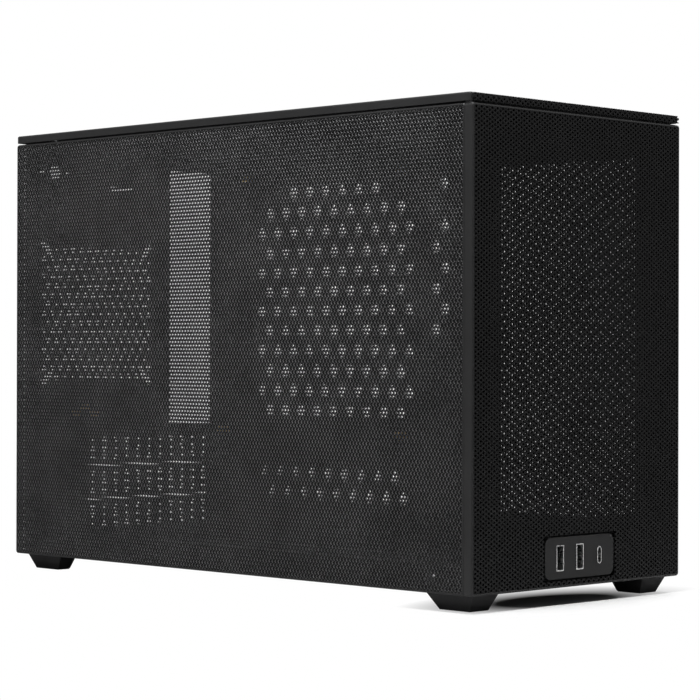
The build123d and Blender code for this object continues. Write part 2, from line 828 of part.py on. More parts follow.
# Feet: tapered rubber blocks under the base plate, each with the corner towards the middle cut off
foot_names = ("foot_front_left", "foot_rear_left", "foot_front_right", "foot_rear_right")
for name, (across, along) in zip(foot_names, foot_places):
    side = 1 if across > 0 else -1
    end = 1 if along > 0 else -1
    outer_y = along + end * foot_length / 2
    inner_y = along - end * foot_length / 2
    foot_left = across - foot_width / 2
    foot_right = across + foot_width / 2
    inner_corner = Plane(
        origin=(
            across - side * (foot_width - foot_corner) / 2,
            along - end * (foot_length - foot_corner) / 2,
            foot_height,
        ),
        z_dir=(-side, -end, -sqrt(2) * tan(radians(foot_corner_lean))),
    )
    with BuildPart() as foot:
        with BuildSketch(Plane.YZ.offset(foot_left)):
            with BuildLine():
                Polyline(
                    (outer_y, foot_height),
                    (outer_y - end * foot_outer_slope, 0),
                    (inner_y + end * foot_inner_slope, 0),
                    (inner_y, foot_height),
                    close=True,
                )
            make_face()
        extrude(amount=foot_width)
        with BuildSketch(plane_at_y(along)):
            with BuildLine():
                Polyline(
                    (foot_left, foot_height),
                    (foot_left + foot_side_slope, 0),
                    (foot_right - foot_side_slope, 0),
                    (foot_right, foot_height),
                    close=True,
                )
            make_face()
        extrude(amount=foot_length / 2, both=True, mode=Mode.INTERSECT)
        split(bisect_by=inner_corner, keep=Keep.BOTTOM)
    foot.part.label = name
    export_step(foot.part, f"parts/{name}.step")


def studs(plane, places):
    """Snap studs that stand on the back of a panel: a neck and a wider head, away from the plane."""
    with BuildPart() as group:
        with BuildSketch(plane):
            with Locations(*places):
                hexagon(stud_neck)
        extrude(amount=stud_reach)
        with BuildSketch(plane.offset(stud_reach - stud_head_height)):
            with Locations(*places):
                hexagon(stud_head)
        extrude(amount=stud_head_height)
    return group.part


def clips(plane, places):
    """Square plastic sockets in the chassis: a collar outside the plane and a neck in the sheet."""
    with BuildPart() as group:
        with BuildSketch(plane):
            with Locations(*places):
                Rectangle(clip_outer, clip_outer)
                Rectangle(clip_bore, clip_bore, mode=Mode.SUBTRACT)
        extrude(amount=-clip_collar)
        with BuildSketch(plane):
            with Locations(*places):
                Rectangle(clip_neck, clip_neck)
                Rectangle(clip_bore, clip_bore, mode=Mode.SUBTRACT)
        extrude(amount=chassis_sheet)
    return group.part


inward_x = Plane(origin=(left + panel_sheet, 0, 0), x_dir=(0, 1, 0), z_dir=(1, 0, 0))
outward_x = Plane(origin=(right - panel_sheet, 0, 0), x_dir=(0, -1, 0), z_dir=(-1, 0, 0))
inward_y = Plane(origin=(0, front + panel_sheet, 0), x_dir=(-1, 0, 0), z_dir=(0, 1, 0))
downward = Plane(origin=(0, 0, top - panel_sheet), x_dir=(1, 0, 0), z_dir=(0, 0, -1))
fastener_rows = {
    "left": (inward_x, side_return + panel_clearance - panel_sheet, side_stud_places),
    "right": (
        outward_x,
        side_return + panel_clearance - panel_sheet,
        [(-along, height) for along, height in side_stud_places],
    ),
    "front": (
        inward_y,
        front_return + panel_clearance - panel_sheet,
        [(-across, height) for across, height in front_stud_places],
    ),
    "top": (
        downward,
        cover_rim + panel_clearance - panel_sheet,
        [(across, -along) for across, along in top_stud_places],
    ),
}
for side, (plane, depth, places) in fastener_rows.items():
    stud_group = studs(plane, places)
    stud_group.label = f"{side}_studs"
    export_step(stud_group, f"parts/{side}_studs.step")
    clip_group = clips(plane.offset(depth), places)
    clip_group.label = f"{side}_clips"
    export_step(clip_group, f"parts/{side}_clips.step")
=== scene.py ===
"""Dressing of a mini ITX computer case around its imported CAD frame.

The outer sheets get their real perforation, the rear panel its real fan vent, and every carried-over
solid gets a finish. All lengths of the classes are in millimetres in the frame of the CAD: the origin
lies on the floor under the middle of the case, the front faces -Y and the tray stands near +X.
"""

from __future__ import annotations

import json
import logging
import math
import sys
from dataclasses import dataclass, field
from enum import Enum

import bmesh
import bpy
from mathutils import Matrix, Vector

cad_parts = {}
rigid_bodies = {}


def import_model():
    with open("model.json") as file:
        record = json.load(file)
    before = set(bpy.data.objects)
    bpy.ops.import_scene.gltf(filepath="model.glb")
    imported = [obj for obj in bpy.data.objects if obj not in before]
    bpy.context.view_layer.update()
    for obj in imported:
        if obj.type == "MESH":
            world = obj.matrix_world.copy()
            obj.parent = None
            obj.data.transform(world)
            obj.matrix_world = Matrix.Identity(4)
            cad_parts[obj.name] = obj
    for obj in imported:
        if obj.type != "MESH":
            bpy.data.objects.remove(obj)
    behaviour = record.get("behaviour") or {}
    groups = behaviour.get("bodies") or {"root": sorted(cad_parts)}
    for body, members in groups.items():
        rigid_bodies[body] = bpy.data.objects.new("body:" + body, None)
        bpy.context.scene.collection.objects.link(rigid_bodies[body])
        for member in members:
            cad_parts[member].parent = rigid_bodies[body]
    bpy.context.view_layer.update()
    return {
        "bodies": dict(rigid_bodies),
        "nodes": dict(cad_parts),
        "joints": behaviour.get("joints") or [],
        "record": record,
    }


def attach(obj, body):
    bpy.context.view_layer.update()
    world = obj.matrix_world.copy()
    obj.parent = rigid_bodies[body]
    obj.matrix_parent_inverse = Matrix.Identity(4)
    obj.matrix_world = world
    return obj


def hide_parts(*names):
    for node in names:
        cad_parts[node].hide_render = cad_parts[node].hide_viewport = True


LOG = logging.getLogger("itx_case")
MM = 0.001

PANEL_MIDDLE = 129.6
PANEL_HEIGHT = 241.8
SIDE_LENGTH = 356.8
SIDE_SHIFT = 2.6
CASE_WIDTH = 167.0
CASE_FRONT = -181.0
CASE_TOP = 255.7
PORT_WINDOW = (-28.5, -117.4, 28.5, -94.2)
WINDOW_MARGIN = 4.0
TRAY_PITCH = 14.0
TRAY_HOLE = 8.0
TRAY_FIELD = (71.75, 153.4)
TRAY_LOWER_FIELD = (71.75, 47.7)
TRAY_COLUMN = -15.75
VENT_MIDDLE = (-23.0, 151.2)
VENT_PITCH = 6.3
VENT_HOLE = 4.0
FAN_SLOT_REACH = 39.0
SLOT_HEIGHTS = (69.12, 48.8, 28.48)
SLOT_GRID = (9.0, 5.2)


class Side(Enum):
    """The ways that a sheet can face, each with the directions that its own plane uses."""

    LEFT = ((0, -1, 0), (0, 0, 1), (-1, 0, 0))
    RIGHT = ((0, 1, 0), (0, 0, 1), (1, 0, 0))
    FRONT = ((1, 0, 0), (0, 0, 1), (0, -1, 0))
    TOP = ((1, 0, 0), (0, 1, 0), (0, 0, 1))

    def __init__(self, across: tuple, up: tuple, outward: tuple) -> None:
        """Keep the directions as vectors.

        Args:
            across: Direction that is level, or across the case for the top.
            up: Direction at right angles to it in the sheet.
            outward: Direction away from the case.
        """
        self.across = Vector(across)
        self.up = Vector(up)
        self.outward = Vector(outward)

    def placing(self, centre: tuple[float, float, float]) -> Matrix:
        """Give the matrix from the sheet's own plane to the case.

        Args:
            centre: Middle of the sheet's outer face, in millimetres.

        Returns:
            A matrix that also turns millimetres into metres.
        """
        turn = Matrix((self.across, self.up, self.outward)).transposed().to_4x4()
        return Matrix.Scale(MM, 4) @ Matrix.Translation(centre) @ turn


class Rows(Enum):
    """How the rows of a perforation run in its sheet."""

    LEVEL = "level"
    UPRIGHT = "upright"


@dataclass
class NodeBoard:
    """A material's node tree with short calls for what the finishes need."""

    name: str
    material: bpy.types.Material = field(init=False)
    shader: bpy.types.Node = field(init=False)
    place: bpy.types.Node = field(init=False)

    def __post_init__(self) -> None:
        """Start the material with its shader and its object coordinates."""
        self.material = bpy.data.materials.new(self.name)
        self.material.use_nodes = True
        self.shader = self.material.node_tree.nodes["Principled BSDF"]
        self.place = self.add("ShaderNodeTexCoord")

    def add(self, kind: str, **inputs: float) -> bpy.types.Node:
        """Add a node and set its sockets.

        Args:
            kind: Type name of the node.
            **inputs: Socket names with underscores for spaces, and their values.

        Returns:
            The new node.
        """
        node = self.material.node_tree.nodes.new(kind)
        for socket, value in inputs.items():
            node.inputs[socket.replace("_", " ")].default_value = value
        return node

    def link(self, source: bpy.types.NodeSocket, target: bpy.types.NodeSocket) -> None:
        """Join two sockets.

        Args:
            source: The output socket.
            target: The input socket.
        """
        self.material.node_tree.links.new(source, target)

    def noise(self, scale: float, detail: float = 2.0, stretch: tuple | None = None) -> bpy.types.Node:
        """Add a noise that reads object coordinates.

        Args:
            scale: Number of noise cells in a metre.
            detail: Octaves of the noise.
            stretch: Factors on the three axes, for a grain with a direction.

        Returns:
            The noise node.
        """
        node = self.add("ShaderNodeTexNoise", Scale=scale, Detail=detail)
        source = self.place.outputs["Object"]
        if stretch is not None:
            mapping = self.add("ShaderNodeMapping", Scale=stretch)
            self.link(source, mapping.inputs["Vector"])
            source = mapping.outputs["Vector"]
        self.link(source, node.inputs["Vector"])
        return node

    def spread(self, noise: bpy.types.Node, low: float, high: float) -> bpy.types.NodeSocket:
        """Map the middle of a noise to a range of numbers.

        Args:
            noise: The noise node.
            low: Value where the noise is low.
            high: Value where the noise is high.

        Returns:
            The socket that carries the number.
        """
        node = self.add("ShaderNodeMapRange", From_Min=0.35, From_Max=0.65, To_Min=low, To_Max=high)
        self.link(noise.outputs["Fac"], node.inputs["Value"])
        return node.outputs["Result"]

    def tint(self, noise: bpy.types.Node, dark: tuple, light: tuple) -> None:
        """Let the base colour wander between two colours.

        Args:
            noise: The noise node that chooses.
            dark: Colour where the noise is low.
            light: Colour where the noise is high.
        """
        ramp = self.add("ShaderNodeValToRGB")
        for element, place, colour in zip(ramp.color_ramp.elements, (0.35, 0.65), (dark, light)):
            element.position = place
            element.color = (*colour, 1.0)
        self.link(noise.outputs["Fac"], ramp.inputs["Fac"])
        self.link(ramp.outputs["Color"], self.shader.inputs["Base Color"])

    def relief(self, layers: list[tuple[bpy.types.Node, float]]) -> None:
        """Bump the surface with one or more noises.

        Args:
            layers: Noise nodes, each with its height in metres.
        """
        normal = None
        for noise, height in layers:
            bump = self.add("ShaderNodeBump", Strength=1.0, Distance=height)
            self.link(noise.outputs["Fac"], bump.inputs["Height"])
            if normal is not None:
                self.link(normal, bump.inputs["Normal"])
            normal = bump.outputs["Normal"]
        self.link(normal, self.shader.inputs["Normal"])


@dataclass(frozen=True)
class PowderCoat:
    """Fine matt powder coat: two near blacks, an even grain and a little unevenness of gloss."""

    name: str
    dark: tuple[float, float, float] = (0.011, 0.011, 0.0113)
    light: tuple[float, float, float] = (0.015, 0.015, 0.0153)
    roughness: tuple[float, float] = (0.40, 0.52)
    gloss: float = 0.05
    grain: float = 2600.0
    depth: float = 0.00004

    def make(self) -> bpy.types.Material:
        """Build the material.

        Returns:
            The material, with its node tree.
        """
        board = NodeBoard(self.name)
        cloud = board.noise(35.0, 3.0)
        grain = board.noise(self.grain, 1.0)
        board.tint(cloud, self.dark, self.light)
        board.link(board.spread(cloud, *self.roughness), board.shader.inputs["Roughness"])
        board.relief([(grain, self.depth)])
        board.shader.inputs["Specular IOR Level"].default_value = self.gloss
        return board.material


@dataclass(frozen=True)
class Moulding:
    """Moulded plastic or rubber: a soft texture from the mould over a slow change of tone."""

    name: str
    dark: tuple[float, float, float]
    light: tuple[float, float, float]
    roughness: tuple[float, float] = (0.45, 0.6)
    gloss: float = 0.35
    grain: float = 1800.0
    depth: float = 0.00003

    def make(self) -> bpy.types.Material:
        """Build the material.

        Returns:
            The material, with its node tree.
        """
        board = NodeBoard(self.name)
        cloud = board.noise(60.0, 2.0)
        grain = board.noise(self.grain, 2.0)
        board.tint(cloud, self.dark, self.light)
        board.link(board.spread(cloud, *self.roughness), board.shader.inputs["Roughness"])
        board.relief([(grain, self.depth), (cloud, self.depth)])
        board.shader.inputs["Specular IOR Level"].default_value = self.gloss
        return board.material


@dataclass(frozen=True)
class Metal:
    """Plated or turned metal: lines of the tool or the roll over a patchy gloss."""

    name: str
    dark: tuple[float, float, float]
    light: tuple[float, float, float]
    roughness: tuple[float, float] = (0.25, 0.4)
    lines: tuple[float, float, float] = (1.0, 1.0, 14.0)

    def make(self) -> bpy.types.Material:
        """Build the material.

        Returns:
            The material, with its node tree.
        """
        board = NodeBoard(self.name)
        cloud = board.noise(90.0, 3.0)
        lines = board.noise(260.0, 2.0, self.lines)
        board.tint(cloud, self.dark, self.light)
        board.link(board.spread(lines, *self.roughness), board.shader.inputs["Roughness"])
        board.relief([(lines, 0.000012)])
        board.shader.inputs["Metallic"].default_value = 1.0
        return board.material


@dataclass
class Palette:
    """The finishes of the case by the slot of the record that they belong to."""

    finishes: dict[str, bpy.types.Material] = field(default_factory=dict)

    def __post_init__(self) -> None:
        """Make each finish once."""
        kinds = {
            "panel_steel": PowderCoat("panel_powder_coat"),
            "panel_rim": PowderCoat("panel_rim_coat", gloss=0.22),
            "chassis_steel": PowderCoat(
                "chassis_powder_coat", (0.010, 0.010, 0.0103), (0.014, 0.014, 0.0143), gloss=0.05,
            ),
            # The hole walls get a far lighter coat than the sheet's face: a painted highlight that stands in
            # for the light caught on the walls of the left sheet's holes.
            "painted_wall_highlight": PowderCoat(
                "painted_wall_highlight_coat", (0.13, 0.13, 0.132), (0.17, 0.17, 0.172), gloss=0.1, grain=900.0,
            ),
            "screw_steel": Metal("blackened_steel", (0.05, 0.05, 0.052), (0.09, 0.09, 0.095)),
            "stud_steel": Metal("zinc_plate", (0.42, 0.42, 0.43), (0.58, 0.58, 0.6)),
            "clip_plastic": Moulding("clip_nylon", (0.014, 0.014, 0.015), (0.02, 0.02, 0.021)),
            "port_shell": Metal("nickel_plate", (0.5, 0.5, 0.5), (0.66, 0.66, 0.65), (0.22, 0.34)),
            "port_tongue": Moulding("tongue_plastic", (0.055, 0.055, 0.057), (0.075, 0.075, 0.078)),
            "circuit_board": Moulding("solder_mask", (0.008, 0.02, 0.012), (0.012, 0.03, 0.018)),
            "brass": Metal("turned_brass", (0.5, 0.36, 0.14), (0.66, 0.5, 0.22)),
            "foot_rubber": Moulding(
                "foot_rubber", (0.02, 0.02, 0.0205), (0.028, 0.028, 0.0285), (0.6, 0.75), 0.1,
            ),
            "black_plastic": Moulding(
                "port_plastic", (0.018, 0.018, 0.0183), (0.023, 0.023, 0.0233), gloss=0.12,
            ),
        }
        for slot, finish in kinds.items():
            self.finishes[slot] = finish.make()

    def dress_frame(self, frame: dict) -> None:
        """Give each carried-over solid the finish of its slot.
        """
        for row in frame["record"]["subparts"]:
            solid = frame["nodes"][row["node"]]
            solid.data.materials.clear()
            solid.data.materials.append(self.finishes[row["material_slot"]])


@dataclass
class Workshop:
    """Turns finished bmeshes into pieces that ride, replace and carry a finish."""

    palette: Palette

    def mesh_of(self, shape: bmesh.types.BMesh, name: str) -> bpy.types.Object:
        """Free a bmesh into a new object.

        Args:
            shape: The bmesh, which is freed.
            name: Name of the object and its mesh.

        Returns:
            The object, linked to the scene.
        """
        mesh = bpy.data.meshes.new(name)
        shape.to_mesh(mesh)
        shape.free()
        piece = bpy.data.objects.new(name, mesh)
        bpy.context.scene.collection.objects.link(piece)
        return piece

    def publish(
        self, piece: bpy.types.Object, slot: str, body: str, *nodes: str, finish: str | None = None
    ) -> bpy.types.Object:
        """Dress a piece, let it ride and report it.

        Args:
            piece: The finished object.
            slot: Slot of the record that names its finish.
            body: Body that it moves with.
            *nodes: Solids that it stands for.
            finish: Finish, where it isn't the slot's own.

        Returns:
            The piece.
        """
        piece.data.materials.append(self.palette.finishes[finish or slot])
        # Faces with a material index above zero are hole walls, which take the painted highlight coat.
        if any(face.material_index for face in piece.data.polygons):
            piece.data.materials.append(self.palette.finishes["painted_wall_highlight"])
        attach(piece, body)
        if nodes:
            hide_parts(*nodes)
        triangles = sum(len(face.vertices) - 2 for face in piece.data.polygons)
        LOG.info("%s on %s: %d triangles", piece.name, body, triangles)
        return piece

    def applied(self, piece: bpy.types.Object) -> bpy.types.Object:
        """Put a piece's modifiers into its mesh.

        Args:
            piece: The object that carries the modifiers.

        Returns:
            The same object with a plain mesh.
        """
        graph = bpy.context.evaluated_depsgraph_get()
        done = bpy.data.meshes.new_from_object(piece.evaluated_get(graph))
        piece.modifiers.clear()
        piece.data = done
        return piece


def edges_of(low: tuple[float, float], high: tuple[float, float]) -> tuple:
    """List the four planes round a rectangle of a sheet's plane.

    Args:
        low: Lowest corner of the rectangle.
        high: Highest corner of the rectangle.

    Returns:
        A point and the outward direction of each plane.
    """
    return (
        ((low[0], 0, 0), (-1, 0, 0)), ((high[0], 0, 0), (1, 0, 0)),
        ((0, low[1], 0), (0, -1, 0)), ((0, high[1], 0), (0, 1, 0)),
    )


def lies_within(
    face: bmesh.types.BMFace, low: tuple[float, float], high: tuple[float, float], margin: float = 0.0
) -> bool:
    """Say whether a face's middle lies in a rectangle.

    Args:
        face: The face.
        low: Lowest corner of the rectangle.
        high: Highest corner of the rectangle.
        margin: Width by which the rectangle is widened.

    Returns:
        True if it does.
    """
    middle = face.calc_center_median()
    return (
        low[0] - margin < middle.x < high[0] + margin and low[1] - margin < middle.y < high[1] + margin
    )


def trim(shape: bmesh.types.BMesh, low: tuple[float, float], high: tuple[float, float]) -> None:
    """Keep what lies inside a rectangle of the sheet's plane and close the cuts.

    Args:
        shape: The perforated sheet, in its own plane.
        low: Lowest corner of the rectangle.
        high: Highest corner of the rectangle.
    """
    for point, normal in edges_of(low, high):
        everything = shape.verts[:] + shape.edges[:] + shape.faces[:]
        cut = bmesh.ops.bisect_plane(
            shape, geom=everything, dist=1e-5, plane_co=point, plane_no=normal, clear_outer=True
        )
        rims = [e for e in cut["geom_cut"] if isinstance(e, bmesh.types.BMEdge) and e.is_boundary]
        bmesh.ops.holes_fill(shape, edges=rims, sides=0)


def cut_window(shape: bmesh.types.BMesh, low: tuple[float, float], high: tuple[float, float]) -> None:
    """Take a rectangle out of a perforated sheet and close the cuts.

    Args:
        shape: The perforated sheet, in its own plane.
        low: Lowest corner of the window.
        high: Highest corner of the window.
    """
    for point, normal in edges_of(low, high):
        near = [face for face in shape.faces if lies_within(face, low, high, WINDOW_MARGIN)]
        parts = set(near)
        for face in near:
            parts.update(face.edges)
            parts.update(face.verts)
        bmesh.ops.bisect_plane(shape, geom=list(parts), dist=1e-5, plane_co=point, plane_no=normal)
    inside = [face for face in shape.faces if lies_within(face, low, high)]
    bmesh.ops.delete(shape, geom=inside, context="FACES")
    rims = [e for e in shape.edges if e.is_boundary]
    bmesh.ops.holes_fill(shape, edges=rims, sides=0)


@dataclass
class Perforation:
    """A triangular lattice of four-sided holes, made from a tile of two holes.

    With a flat back the holes narrow a little from the outer face to the inner one. Without it the web
    narrows behind its flat face to a ridge half way to the neighbouring holes.
    """

    pitch: float = 2.309
    half_wide: float = 0.82
    half_tall: float = 0.98
    sheet: float = 1.0
    rows: Rows = Rows.LEVEL
    flat_back: bool = False
    narrowing: float = 0.78
    # Material index of the hole walls: 1 gives them the painted highlight coat, 0 leaves them in the sheet's
    # own coat.
    wall_highlight_index: int = 0

    @property
    def row_step(self) -> float:
        """Distance from one row of holes to the next."""
        return self.pitch * math.sin(math.pi / 3)

    @property
    def inner(self) -> tuple[tuple[float, float], ...]:
        """Where a hole's wall ends behind its head, left, foot and right corner."""
        half, step = self.pitch / 2, self.row_step
        if self.flat_back:
            wide, tall = self.half_wide * self.narrowing, self.half_tall * self.narrowing
            return (0, tall), (-wide, 0), (0, -tall), (wide, 0)
        if self.rows is Rows.UPRIGHT:
            return (
                (-half / 2, step / 2), (-1.5 * half, -step / 2), (half / 2, -step / 2), (1.5 * half, step / 2)
            )
        return (0, step), (-half, 0), (0, -step), (half, 0)

    def tile(self) -> bmesh.types.BMesh:
        """Build one hole's share of the lattice, twice, in the second row's place too.

        Returns:
            A bmesh with the sheet's outer face at height zero.
        """
        shape = bmesh.new()
        for centre in (Vector((0, 0, 0)), Vector((self.pitch / 2, self.row_step, 0))):
            ring = bmesh.ops.create_circle(shape, cap_ends=False, radius=1.0, segments=4)["verts"]
            bmesh.ops.scale(shape, vec=(self.half_wide, self.half_tall, 1), verts=ring)
            rim = list({edge for vert in ring for edge in vert.link_edges})
            wall = bmesh.ops.extrude_edge_only(shape, edges=rim)["geom"]
            behind = [part for part in wall if isinstance(part, bmesh.types.BMVert)]
            for corner, (x, y) in zip(ring, self.inner):
                twin = min(behind, key=lambda vert: (vert.co - corner.co).length)
                shift = Vector((x, y, -self.sheet)) - corner.co
                bmesh.ops.translate(shape, vec=shift, verts=[twin])
            bmesh.ops.translate(shape, vec=centre, verts=ring + behind)
            for part in wall:
                if isinstance(part, bmesh.types.BMFace):
                    part.material_index = self.wall_highlight_index
            self.web(shape, centre, 0.0, self.half_wide, self.half_tall)
            if self.flat_back:
                (_, tall), _, _, (wide, _) = self.inner
                self.web(shape, centre, -self.sheet, wide, tall)
        return shape

    def web(
        self, shape: bmesh.types.BMesh, centre: Vector, level: float, wide: float, tall: float
    ) -> None:
        """Add the share of a flat face that lies between a hole, its neighbour and the next row.

        Args:
            shape: The bmesh of the tile.
            centre: Middle of the hole.
            level: Height of the face.
            wide: Half the hole's width at this height.
            tall: Half the hole's height at this height.
        """
        half, step = self.pitch / 2, self.row_step
        upper_foot, upper_side = (half, step - tall), (half - wide, step)
        patches = (
            ((wide, 0), upper_foot, upper_side, (0, tall)),
            ((-wide, 0), (-half, step - tall), (wide - half, step), (0, tall)),
            ((0, tall), upper_side, (wide - half, step)),
            ((wide, 0), (self.pitch - wide, 0), upper_foot),
        )
        for patch in patches:
            corners = [shape.verts.new((centre.x + x, centre.y + y, level)) for x, y in patch]
            bmesh.ops.contextual_create(shape, geom=corners)

    def sheet_of(
        self, low: tuple[float, float], high: tuple[float, float], seed: tuple[float, float] = (0.0, 0.0)
    ) -> bmesh.types.BMesh:
        """Build a rectangle of the perforation in its own plane.

        Args:
            low: Lowest corner of the rectangle.
            high: Highest corner of the rectangle.
            seed: Middle of any one hole, which fixes the lattice.

        Returns:
            A closed bmesh in millimetres with its outer face at height zero.
        """
        upright = self.rows is Rows.UPRIGHT
        start = (low[1], low[0]) if upright else low
        end = (high[1], high[0]) if upright else high
        origin = (seed[1], seed[0]) if upright else seed
        row_step = self.row_step
        first_column = math.floor((start[0] - origin[0]) / self.pitch) - 1
        first_row = math.floor((start[1] - origin[1]) / (2 * row_step)) - 1
        columns = math.ceil((end[0] - start[0]) / self.pitch) + 4
        pairs = math.ceil((end[1] - start[1]) / (2 * row_step)) + 3
        tile = self.tile()
        mesh = bpy.data.meshes.new("tile")
        bmesh.ops.remove_doubles(tile, verts=tile.verts, dist=1e-4)
        tile.to_mesh(mesh)
        tile.free()
        piece = bpy.data.objects.new("tile", mesh)
        bpy.context.scene.collection.objects.link(piece)
        for count, offset in ((columns, (self.pitch, 0, 0)), (pairs, (0, 2 * row_step, 0))):
            array = piece.modifiers.new("repeat", "ARRAY")
            array.count = count
            array.use_relative_offset = False
            array.use_constant_offset = True
            array.constant_offset_displace = offset
        graph = bpy.context.evaluated_depsgraph_get()
        whole = bpy.data.meshes.new_from_object(piece.evaluated_get(graph))
        shape = bmesh.new()
        shape.from_mesh(whole)
        bpy.data.objects.remove(piece)
        bpy.data.meshes.remove(mesh)
        bpy.data.meshes.remove(whole)
        corner = (origin[0] + first_column * self.pitch, origin[1] + first_row * 2 * row_step, 0)
        bmesh.ops.translate(shape, vec=corner, verts=shape.verts)
        if upright:
            swap = Matrix(((0, 1, 0, 0), (1, 0, 0, 0), (0, 0, 1, 0), (0, 0, 0, 1)))
            bmesh.ops.transform(shape, matrix=swap, verts=shape.verts)
        bmesh.ops.remove_doubles(shape, verts=shape.verts, dist=1e-3)
        trim(shape, low, high)
        return shape


@dataclass(frozen=True)
class Punch:
    """A round hole, or a slot with round ends, through a sheet."""

    across: float
    up: float
    long: float
    wide: float
    turn: float = 0.0
    segments: int = 12

    def add_to(self, shape: bmesh.types.BMesh, depth: float) -> None:
        """Add the prism that the hole takes away, half of it on each side of height zero.

        Args:
            shape: The bmesh of the cutter.
            depth: Length of the prism.
        """
        turned = Matrix.Rotation(math.pi / self.segments, 4, "Z")
        low = bmesh.ops.create_circle(
            shape, cap_ends=True, radius=self.wide / 2, segments=self.segments, matrix=turned
        )["verts"]
        for way in (-1, 1):
            half = [vert for vert in low if vert.co.x * way > 0]
            bmesh.ops.translate(shape, vec=(way * (self.long - self.wide) / 2, 0, 0), verts=half)
        raised = bmesh.ops.extrude_face_region(shape, geom=list(low[0].link_faces))["geom"]
        high = [part for part in raised if isinstance(part, bmesh.types.BMVert)]
        bmesh.ops.translate(shape, vec=(0, 0, depth), verts=high)
        spin = Matrix.Rotation(math.radians(self.turn), 3, "Z")
        bmesh.ops.rotate(shape, cent=(0, 0, 0), matrix=spin, verts=low + high)
        bmesh.ops.translate(shape, vec=(self.across, self.up, -depth / 2), verts=low + high)


@dataclass
class PunchedSheet:
    """A chassis sheet whose coarse openings are closed and punched again as the real ones."""

    node: str
    facing: Side
    middle: tuple[float, float, float]
    sheet: float
    plugs: list[tuple[float, float, float, float]]
    punches: list[Punch]

    def tool(self, name: str, shape: bmesh.types.BMesh, shop: Workshop) -> bpy.types.Object:
        """Place a cutter or a plug in the sheet.

        Args:
            name: Name of the object.
            shape: Its bmesh in the sheet's own plane.
            shop: The workshop that makes the object.

        Returns:
            The object, in millimetres.
        """
        bmesh.ops.recalc_face_normals(shape, faces=shape.faces)
        place = Matrix.Scale(1 / MM, 4) @ self.facing.placing(self.middle)
        bmesh.ops.transform(shape, matrix=place, verts=shape.verts)
        return shop.mesh_of(shape, name)

    def build(self, shop: Workshop, frame: dict) -> None:
        """Copy the solid, close it, punch it and publish it.

        Args:
            shop: The workshop that publishes the piece.
        """
        solid = frame["nodes"][self.node]
        shape = bmesh.new()
        shape.from_mesh(solid.data)
        bmesh.ops.transform(shape, matrix=Matrix.Scale(1 / MM, 4) @ solid.matrix_world, verts=shape.verts)
        bmesh.ops.remove_doubles(shape, verts=shape.verts, dist=1e-3)
        bmesh.ops.recalc_face_normals(shape, faces=shape.faces)
        piece = shop.mesh_of(shape, f"{self.node}_punched")
        plug = bmesh.new()
        for low_x, low_y, high_x, high_y in self.plugs:
            box = bmesh.ops.create_cube(plug, size=1.0)["verts"]
            bmesh.ops.scale(plug, vec=(high_x - low_x, high_y - low_y, self.sheet - 0.02), verts=box)
            bmesh.ops.translate(plug, vec=((low_x + high_x) / 2, (low_y + high_y) / 2, 0), verts=box)
        cutter = bmesh.new()
        for punch in self.punches:
            punch.add_to(cutter, self.sheet * 4)
        steps = (
            ("UNION", self.tool("plug", plug, shop)),
            ("DIFFERENCE", self.tool("cutter", cutter, shop)),
        )
        for operation, tool in steps:
            change = piece.modifiers.new(operation.lower(), "BOOLEAN")
            change.operation = operation
            change.object = tool
            change.solver = "EXACT"
            change.use_self = operation == "DIFFERENCE"
        shop.applied(piece)
        for _, tool in steps:
            bpy.data.objects.remove(tool)
        back = bmesh.new()
        back.from_mesh(piece.data)
        bmesh.ops.scale(back, vec=(MM, MM, MM), verts=back.verts)
        back.to_mesh(piece.data)
        back.free()
        shop.publish(piece, "chassis_steel", "chassis", self.node)


@dataclass
class FoldedRim:
    """The plain frame round a sheet: a narrow face, a rounded fold and the returns behind it."""

    width: float
    height: float
    depth: float
    lip: float = 1.2
    wall: float = 1.0
    fold: float = 0.9
    corner: float = 1.6

    def shape(self) -> bmesh.types.BMesh:
        """Build the rim in the sheet's own plane.

        Returns:
            A closed bmesh in millimetres with its outer face at height zero.
        """
        shape = bmesh.new()
        bmesh.ops.create_cube(shape, size=1.0)
        bmesh.ops.scale(shape, vec=(self.width, self.height, self.depth), verts=shape.verts)
        bmesh.ops.translate(shape, vec=(0, 0, -self.depth / 2), verts=shape.verts)
        back = min(shape.faces, key=lambda f: f.calc_center_median().z)
        bmesh.ops.delete(shape, geom=[back], context="FACES_ONLY")
        posts = [e for e in shape.edges if abs(e.verts[0].co.z - e.verts[1].co.z) > self.depth / 2]
        bmesh.ops.bevel(
            shape, geom=posts, offset=self.corner, offset_type="OFFSET", segments=3, profile=0.5,
            affect="EDGES", material=-1, clamp_overlap=True,
        )
        face = max(shape.faces, key=lambda f: f.calc_center_median().z)
        bmesh.ops.bevel(
            shape, geom=list(face.edges), offset=self.fold, offset_type="OFFSET", segments=3,
            profile=0.5, affect="EDGES", material=-1, clamp_overlap=True,
        )
        face = max(shape.faces, key=lambda f: (f.calc_center_median().z, f.calc_area()))
        bmesh.ops.inset_region(
            shape, faces=[face], thickness=max(self.lip - self.fold, 0.1), use_even_offset=True
        )
        bmesh.ops.delete(shape, geom=[face], context="FACES")
        bmesh.ops.remove_doubles(shape, verts=shape.verts, dist=1e-4)
        bmesh.ops.recalc_face_normals(shape, faces=shape.faces)
        flat = max(shape.faces, key=lambda f: f.calc_center_median().z)
        if flat.normal.z < 0:
            bmesh.ops.reverse_faces(shape, faces=shape.faces)
        bmesh.ops.solidify(shape, geom=shape.verts[:] + shape.edges[:] + shape.faces[:], thickness=self.wall)
        return shape


